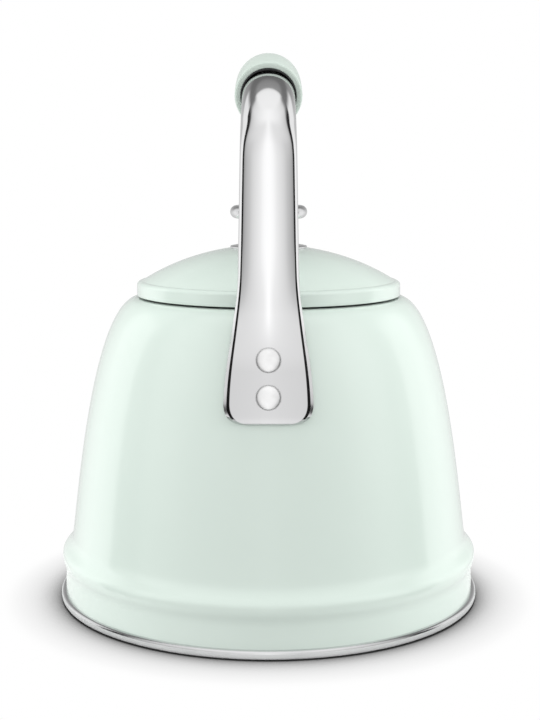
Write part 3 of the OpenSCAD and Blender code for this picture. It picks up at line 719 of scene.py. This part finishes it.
whistle_hold = shell("ribbed_whistle_grip", at_tip((points, quads)), sharp=50)
wear(whistle_hold, moulded_black, "whistle", "black_plastic", "whistle_grip")
dress(satin_steel, "whistle_disc_inner", "whistle_disc_outer")

# ---- handle straps ----
# Two straps of polished stainless steel, each pressed into a deep channel from 1.5 mm sheet. The
# foot is flared and flat for two rivets; above it the strap narrows, rounds, turns upright and
# bends over into the grip, where its tail is pinned.
strap_t = 1.5
rivet_h = 102.2
rivet_pitch = 14.2
foot_w = 35.5
strap_w = 24.4
flare_h = 150
strap_top_w = 21.3
foot_depth = 3.3
top_depth = 10
foot_round = 8
turn_r = 44
bend_r = 30.3
free_h = body_h - 8
strap_gap = 0.5
strap_tail = 18
grip_d = 27.4
grip_arch_r = 176
rim_round = 0.35
foot_h = corners("rear_strap")[0][2]
handle_h = corners("grip_sleeve")[1][2]
rivet_top_h = rivet_h + rivet_pitch
foot_lean = math.atan((wall_r(rivet_h) - wall_r(rivet_top_h)) / rivet_pitch)
back_off = strap_gap + strap_t
turn_start_h = rivet_top_h + 3
arch_z = handle_h - grip_d / 2 - grip_arch_r
crest_r = grip_arch_r + top_depth


def foot_out(h):
    """Distance of the strap's face from the kettle's axis on the straight foot."""
    return wall_r(rivet_h) + back_off - (h - rivet_h) * math.tan(foot_lean)


reach = foot_out(turn_start_h) - turn_r * (1 - math.cos(foot_lean))
upright_h = turn_start_h + turn_r * math.sin(foot_lean)
grip_angle = math.asin((reach - bend_r) / (crest_r - bend_r))
bend_h = arch_z + (crest_r - bend_r) * math.cos(grip_angle)
round_h = foot_h + foot_round


def smooth(x):
    """Eases from 0 to 1: 3x^2 - 2x^3, level outside."""
    x = np.clip(x, 0, 1)
    return x * x * (3 - 2 * x)


def strap_path():
    """Stations of the face line: distance from the axis, height, tilt from upright, and how far the
    rounded end has closed. A straight foot, an arc to upright, a straight, an arc over, and the tail
    on the grip's crest circle."""
    closed = np.cos(np.linspace(0.1, np.pi / 2, 30))
    foot = [(foot_out(round_h - k * foot_round), round_h - k * foot_round, foot_lean, k) for k in closed]
    flat = [(foot_out(h), h, foot_lean, 0) for h in np.linspace(round_h, turn_start_h, 18)[1:]]
    turn = [(foot_out(turn_start_h) - turn_r * (math.cos(k) - math.cos(foot_lean)),
             turn_start_h + turn_r * (math.sin(foot_lean) - math.sin(k)), k, 0)
            for k in np.linspace(foot_lean, 0, 11)[1:]]
    rise = [(reach, h, 0, 0) for h in np.linspace(upright_h, bend_h, 44)[1:]]
    over = [(reach - bend_r * (1 - math.cos(k)), bend_h + bend_r * math.sin(k), k, 0)
            for k in np.linspace(0, math.pi / 2 - grip_angle, 48)[1:]]
    tail = [(crest_r * math.sin(k), arch_z + crest_r * math.cos(k), math.pi / 2 - k, 0)
            for k in np.linspace(grip_angle, grip_angle - strap_tail / crest_r, 8)[1:]]
    return np.array(foot + flat + turn + rise + over + tail)


def half_width(h):
    """Half the strap's width: it narrows steadily to the grip and flares smoothly to the foot."""
    slope = (strap_top_w - strap_w) / (bend_h + bend_r - flare_h)
    upper = strap_w + slope * (h - flare_h)
    extra = foot_w - strap_w - slope * (round_h - flare_h)
    return (upper + extra * smooth((flare_h - h) / (flare_h - round_h))) / 2


# Places across the face are shares of half its width, and slopes are falls for one such share.
upright_depth = 7.4
rise_len = 26
round_len = 40
bend_len = 18
foot_bow = 0.035
upright_bow = 0.29
fold = 0.858
fold_w = 0.006
fold_slope = 0.86
flange = 0.93
flange_w = 0.008
flange_slope = 1.65
upright_power = 2.7
bend_power = 2.0
half_face = np.concatenate([fold * np.sin(np.linspace(0, np.pi / 2, 20)),
                            [0.861, 0.864, 0.873, 0.888, 0.903, 0.917, 0.926, 0.93, 0.934, 0.94, 0.95, 0.96,
                             0.97, 0.98, 0.988, 0.994, 0.998, 1]])
face = np.concatenate([half_face[:0:-1], -half_face])
face_steps = np.diff(half_face)


def fall(slope):
    """Running sum of a slope over the face, from its middle out to each side."""
    half = slope[:, len(half_face) - 1:]
    run = np.cumsum((half[:, 1:] + half[:, :-1]) / 2 * face_steps, axis=1)
    run = np.concatenate([0 * run[:, :1], run], axis=1)
    return np.concatenate([run[:, :0:-1], run], axis=1)


def strap_surface(side):
    """The strap's grid, one ring of its section per station. On the foot the face falls from its middle by
    the running sum of a slope: a faint crown, a sharp fold, a strip beside it, and a flange that takes
    the depth that is left. Further up the crown deepens, and the face eases into a superellipse,
    |x / w|^n + |y / d|^n = 1. The back is the same line one sheet thickness smaller, and each rim is
    half an ellipse. Width and depth shrink together round the foot's end. side is -1 behind and 1 in
    front."""
    out, h, tilt, closed = strap_path().T[:, :, None]
    wall = wall_r(h)
    room = (out - np.sqrt(np.maximum(wall ** 2 - half_width(h) ** 2, 0))) * np.cos(tilt) - strap_gap / 2
    risen = smooth((h - rivet_top_h - 2) / rise_len)
    over = smooth((h - bend_h + 6) / bend_len)
    full = foot_depth + (upright_depth - foot_depth) * risen + (top_depth - upright_depth) * over
    full = np.where(h > free_h, full, np.minimum(full, room))
    w = half_width(np.maximum(h, round_h)) * (1 - closed ** 2.2) ** 0.19
    d = full * (1 - closed ** 6) ** (1 / 6)
    u = np.abs(face)[None, :]
    left = np.maximum(d - rim_round - 0.1, 0.1)
    n = upright_power + (bend_power - upright_power) * over
    round_line = left * (1 - (1 - u ** n) ** (1 / n))
    bow = foot_bow + (upright_bow - foot_bow) * smooth((h - rivet_top_h) / rise_len)
    strip = (bow * u ** 0.6 + (fold_slope - bow) * smooth((u - fold) / fold_w)
             + 0.1 * smooth((u - fold) / 0.05))
    past = smooth((u - flange) / flange_w + 0.5)
    before = w * fall(strip * (1 - past))
    after = w * fall(past + 0 * w)
    lean = np.clip((left - before[:, -1:]) / np.maximum(after[:, -1:], 0.01), 0, flange_slope)
    creased = before + lean * after
    down = np.minimum(creased + (round_line - creased) * smooth((h - rivet_top_h - 8) / round_len), left)
    face_x, face_y = w * face, d - down
    back_x = (w - strap_t) * face[::-1]
    back_y = rim_round + np.maximum(d - strap_t - rim_round, 0.05) * (1 - down / left)[:, ::-1]
    b = np.linspace(0, np.pi, 9)[1:-1]
    rim_x = strap_t / 2 * np.cos(b)
    rim_y = rim_round * (1 - np.sin(b)) + 0 * w
    x = np.concatenate([face_x, -(w - strap_t / 2) - rim_x, back_x, w - strap_t / 2 - rim_x], axis=1)
    y = np.concatenate([face_y, rim_y, back_y, rim_y], axis=1)
    inward = full - y
    return np.stack([x, side * (out - inward * np.cos(tilt)), h - inward * np.sin(tilt)], axis=-1)


def strap(name, side):
    """One strap. Each end is closed by folding its ring flat from the middle of one rim to the other."""
    points = strap_surface(side)
    index = numbered(points)
    quads = [cells(index)]
    for row in (0, -1):
        ring = np.roll(index[row], 4)
        half = np.arange(len(ring) // 2 + 1)
        end = cells(np.stack([ring[half], ring[-half]], axis=1), columns_join=False)
        quads.append(end[:, ::-1] if row else end)
    return shell(name, (points, np.concatenate(quads)), sharp=30)


# The foot's steel is painted darker, and its folds and the rivets' edges darker still: all painted shade.
shade_below_h = 112
unshaded_above_h = 134
crease_shade_reach = 2.2
polished_steel, tree, look = material("polished_steel", Metallic=1.0)
# Painted shade: the colour fades to a darker steel below a height on the foot.
height = node(tree, "ShaderNodeSeparateXYZ", in_0=node(tree, "ShaderNodeTexCoord").outputs["Object"])
foot_shade_share = node(tree, "ShaderNodeMapRange", in_0=height.outputs[2], in_1=shade_below_h * MM,
              in_2=unshaded_above_h * MM)
mirror = tint(tree, grain(tree, 30, stretch=(1, 1, 0.3), detail=4), (0.84, 0.84, 0.845), (0.79, 0.79, 0.795))
sheet = node(tree, "ShaderNodeMix", data_type="RGBA", in_0=foot_shade_share.outputs[0], in_6=(0.615, 0.615, 0.62, 1),
             in_7=mirror)
# Painted shade: the colour darkens where folds and rivet edges shut the steel in.
crease = node(tree, "ShaderNodeAmbientOcclusion", samples=8, in_Distance=crease_shade_reach * MM)
painted_crease_shade = ramp(tree, crease.outputs["AO"], [(0.45, 0.08), (0.6, 0.4), (0.75, 1.0)])
crease_shaded_colour = node(tree, "ShaderNodeMix", data_type="RGBA", blend_type="MULTIPLY", in_0=1.0, in_6=sheet.outputs[2],
             in_7=painted_crease_shade)
finish(tree, look, crease_shaded_colour.outputs[2], spread(tree, grain(tree, 500, stretch=(1, 1, 0.06)), 0.07, 0.12),
       (grain(tree, 60, detail=1), 0.006), (grain(tree, 1400, stretch=(1, 1, 0.04)), 0.002))
for name, side in (("rear", -1), ("front", 1)):
    wear(strap(name + "_pressed_strap", side), polished_steel, "kettle", "polished_steel", name + "_strap")

# ---- rivets and backing plates ----
# Four dome-headed rivets of satin steel go through strap and wall, and are upset over a curved plate
# inside the wall that spreads the load.
rivet_d = 5
rivet_head_r = 4.8
rivet_head_h = 1.9
plate_t = 1.2
rivet_grip = back_off + wall_t + fit + plate_t + 0.2
brim = rivet_head_h * 0.3
lift = np.linspace(0, 1, 15) * np.pi / 2
dome = np.stack([rivet_head_r * np.cos(lift) ** 0.7,
                 brim + (rivet_head_h - brim) * np.sin(lift) ** 0.8], axis=-1)
tail_r = rivet_d * 0.8
tail_round = 0.3
tail_end = -rivet_grip - plate_t
rivet_line = np.concatenate([dome[::-1], [(rivet_head_r, 0.12), (rivet_head_r - 0.12, 0), (rivet_d / 2, 0),
                                          (rivet_d / 2, -rivet_grip), (tail_r - tail_round, -rivet_grip),
                                          (tail_r, -rivet_grip - tail_round), (tail_r, tail_end + tail_round),
                                          (tail_r - tail_round, tail_end), (0, tail_end)]])
rivet_line[0, 0] = 0


def at_rivet(part, h, side):
    """Carries a turned part to a rivet, its axis square to the strap's foot."""
    points, quads = part
    out = np.array([0, side * math.cos(foot_lean), math.sin(foot_lean)])
    over = np.array([0, -side * math.sin(foot_lean), math.cos(foot_lean)])
    seat = np.array([0, side * foot_out(h), h])
    across = np.array([1, 0, 0])
    return seat + points[..., :1] * across + points[..., 1:2] * over + points[..., 2:] * out, quads


brushed_rivet, tree, look = material("brushed_rivet_steel", Metallic=1.0)
finish(tree, look, tint(tree, grain(tree, 250), (0.93, 0.93, 0.93), (0.84, 0.84, 0.84)),
       spread(tree, grain(tree, 900), 0.3, 0.42), (grain(tree, 1500), 0.01))
for name, side in (("rear", -1), ("front", 1)):
    heads = [at_rivet(turned(rivet_line, columns=96), h, side) for h in (rivet_h, rivet_top_h)]
    wear(shell(name + "_domed_rivets", *heads, sharp=40), brushed_rivet, "kettle", "steel", name + "_rivets")
dress(satin_steel, "rear_backing_plate", "front_backing_plate")

# ---- grip ----
# A sleeve of glossy pale green plastic, moulded to the arch over a steel core bar. Its round mouths
# take the straps' tails, and two screws from below hold it to the bar.
grip_r = grip_d / 2
mouth_r = 11.1
mouth_depth = 20
core_r = top_depth - strap_t - 0.2
grip_end = grip_angle * grip_arch_r


def bent(outline, columns=144):
    """Outline of (distance along the grip, radius) carried round the arch: at each distance s the ring
    stands square to the circle of the grip's centre line, at the angle s / radius from the top."""
    s, r = np.asarray(outline).T[:, :, None]
    b = np.linspace(0, 2 * np.pi, columns, endpoint=False)
    turn = s / grip_arch_r
    out = grip_arch_r + r * np.cos(b)
    return np.stack([r * np.sin(b) + 0 * s, out * np.sin(turn), arch_z + out * np.cos(turn)], axis=-1)


mouth = rounded([(mouth_depth - grip_end, mouth_r), (-grip_end, mouth_r), (-grip_end, grip_r), (0, grip_r)],
                [0, 0.5, 1.1, 0], steps=8)[:-1]
side_steps = np.linspace(-grip_end + 2.2, grip_end - 2.2, 101)
outside_line = np.stack([side_steps, 0 * side_steps + grip_r], axis=-1)
bore_steps = np.linspace(grip_end - mouth_depth, mouth_depth - grip_end, 21)
bore_line = np.stack([bore_steps, 0 * bore_steps + core_r + fit], axis=-1)
mirror_mouth = mouth[::-1] * np.array([-1, 1])
grip_line = np.concatenate([mouth, outside_line, mirror_mouth, bore_line])
points = bent(grip_line)
grip_plastic, tree, look = material("pale_green_plastic", Coat_Weight=0.35, Coat_Roughness=0.12,
                                    Specular_IOR_Level=0.5)
finish(tree, look, tint(tree, grain(tree, 25, detail=4), (0.65, 0.742, 0.68), (0.63, 0.724, 0.66)),
       spread(tree, grain(tree, 400), 0.3, 0.38), (grain(tree, 2200), 0.006))
sleeve = shell("arched_grip_sleeve", (points, cells(numbered(points), rows_join=True)), sharp=40)
wear(sleeve, grip_plastic, "kettle", "green_grip", "grip_sleeve")
dress(satin_steel, "handle_core", "strap_pins", "grip_screws")
dress(soft_rubber, "grip_seal_rear", "grip_seal_front")
# Each seal shows as a thin lip round the strap, just outside the mouth.
lip_in = 1.6
lip_out = 0.7
lip_t = 0.4
seal_lip_line = rounded([(-grip_end + lip_in, mouth_r - lip_t), (-grip_end - lip_out, mouth_r - lip_t),
                         (-grip_end - lip_out, mouth_r), (-grip_end - fit, mouth_r + 0.3),
                         (-grip_end - fit, mouth_r - fit), (-grip_end + lip_in, mouth_r - fit)],
                        [0.05, 0.15, 0.15, 0.1, 0.1, 0.05], steps=4)
for name, side in (("rear", 1), ("front", -1)):
    points = bent(seal_lip_line) * np.array([1, side, 1])
    lip = shell(name + "_seal_lip", (points, cells(numbered(points), rows_join=True)), sharp=50)
    wear(lip, soft_rubber, "kettle", "black_rubber")

# ---- lid ----
# A shallow dome pressed from the same steel, enamelled outside, with a short upright edge. A steel
# collar under it drops into the neck, and a flat silicone ring seals it on the ledge.
lid_t = 0.8
lid_edge_h = 4.6
lid_round_w = 2.6
lid_round_h = 1.8
crown_pull = 31.6
crown_slope = math.radians(32)
crown_edge_pull = 5.2
screw_bore_r = 2.55
lid_low, lid_high = corners("lid_shell")
lid_r, lid_edge_z, crown_z = lid_high[0], lid_low[2], lid_high[2]
crown_edge = np.array([lid_r - lid_round_w, lid_edge_z + lid_edge_h + lid_round_h])
crown_line = bezier((0, crown_z), (crown_pull, crown_z),
                    crown_edge + crown_edge_pull * np.array([-math.cos(crown_slope), math.sin(crown_slope)]),
                    crown_edge, 60)


def crown_at(r):
    """Height of the lid's crown at a radius."""
    return np.interp(r, crown_line[:, 0], crown_line[:, 1])


b = np.radians(np.linspace(90, 0, 15))[1:, None]
edge_line = crown_edge + np.concatenate([lid_round_w * np.cos(b), lid_round_h * (np.sin(b) - 1)], axis=1)
crown = np.concatenate([[(screw_bore_r, crown_at(screw_bore_r))],
                        crown_line[crown_line[:, 0] > screw_bore_r + 0.5]])
lid_out = np.concatenate([crown, edge_line, [(lid_r, lid_edge_z + 1.2), (lid_r, lid_edge_z + 0.25)]])
lid_in = set_in(lid_out, -lid_t)
lid_in[0] = (screw_bore_r, crown_at(screw_bore_r) - lid_t)
lid_rim = [(lid_r - 0.1, lid_edge_z + 0.05), (lid_r - 0.3, lid_edge_z), (lid_r - 0.55, lid_edge_z)]
lid_line = np.concatenate([lid_out, lid_rim, lid_in[::-1]])
lid_dome = shell("pressed_lid_dome", turned(lid_line, columns=columns), sharp=50)
wear(lid_dome, enamel, "lid", "green_enamel", "lid_shell")
bare(lid_dome, np.arange(len(lid_line)).repeat(columns) >= len(lid_out) + len(lid_rim) - 1)

collar_t = 0.6
collar_r = neck_r - 0.6
collar_low = body_h - 7.5
collar_z = lid_edge_z + 1
collar_rim = lid_r - lid_t - fit
collar_line = rounded([(collar_r - collar_t, collar_low), (collar_r, collar_low), (collar_r, collar_z),
                       (collar_rim, collar_z), (collar_rim, collar_z + collar_t),
                       (collar_r - collar_t, collar_z + collar_t)], [0.25, 0.25, 0, 0.2, 0.2, 0.6], steps=4)
lid_collar = shell("rolled_lid_collar", turned(collar_line, columns=columns))
wear(lid_collar, bright_steel, "lid", "steel", "lid_collar")

gasket_r = neck_r + 3.4
gasket_line = rounded([(collar_r + fit, body_h + 0.1), (gasket_r, body_h + 0.1), (gasket_r, collar_z),
                       (collar_r + fit, collar_z)], [0.2, 0.6, 0.3, 0.1], steps=4)
lid_ring = shell("moulded_lid_gasket", turned(gasket_line, columns=columns))
wear(lid_ring, soft_rubber, "lid", "black_rubber", "lid_gasket")

# ---- lid knob ----
# A spool of polished steel turned from solid, waisted so that two fingers hook under its disc. It
# stands on a thin flange and is held by a screw through the lid, with a washer inside.
knob_t = 5.7
knob_rise = 11.8
knob_waist_r = 7.5
knob_foot_r = 9.5
flange_t = 1
knob_dome = 0.6
screw_depth = 9
knob_r = corners("knob")[1][0]
flange_r = corners("knob_flange")[1][0]
knob_seat_z = crown_z + flange_t
under_z = crown_z + knob_rise
half = knob_t / 2
disc_flat = knob_r - half
stem = bezier((knob_foot_r, knob_seat_z), (knob_waist_r, knob_seat_z + 2), (knob_waist_r, under_z - 1.5),
              (disc_flat, under_z), 40)
rim = quarter((disc_flat, under_z + half), half, -90, 90, steps=28)
top_r = np.linspace(1, 0, 12)[1:] * disc_flat
top = np.stack([top_r, under_z + knob_t + knob_dome * (1 - (top_r / disc_flat) ** 2)], axis=-1)
bore = [(0, knob_seat_z + screw_depth - flange_t), (screw_bore_r, knob_seat_z + screw_depth - flange_t),
        (screw_bore_r, knob_seat_z), (knob_foot_r - 0.3, knob_seat_z)]
knob_line = np.concatenate([bore, stem, rim[1:], top])
knob_spool = shell("turned_knob_spool", turned(knob_line), sharp=45)
wear(knob_spool, bright_steel, "lid", "chrome", "knob")

under_r = np.linspace(screw_bore_r, flange_r - 0.1, 14)
flange_line = np.concatenate([
    np.stack([under_r, crown_at(under_r) + fit], axis=-1),
    quarter((flange_r - 0.4, crown_at(flange_r) + flange_t - 0.4), 0.4, 0, 80),
    [(knob_foot_r + 0.4, knob_seat_z), (knob_foot_r - 0.4, knob_seat_z), (screw_bore_r, knob_seat_z)]])
knob_plate = shell("spun_knob_flange", turned(flange_line), sharp=40)
wear(knob_plate, bright_steel, "lid", "chrome", "knob_flange")
dress(satin_steel, "knob_screw", "knob_washer")
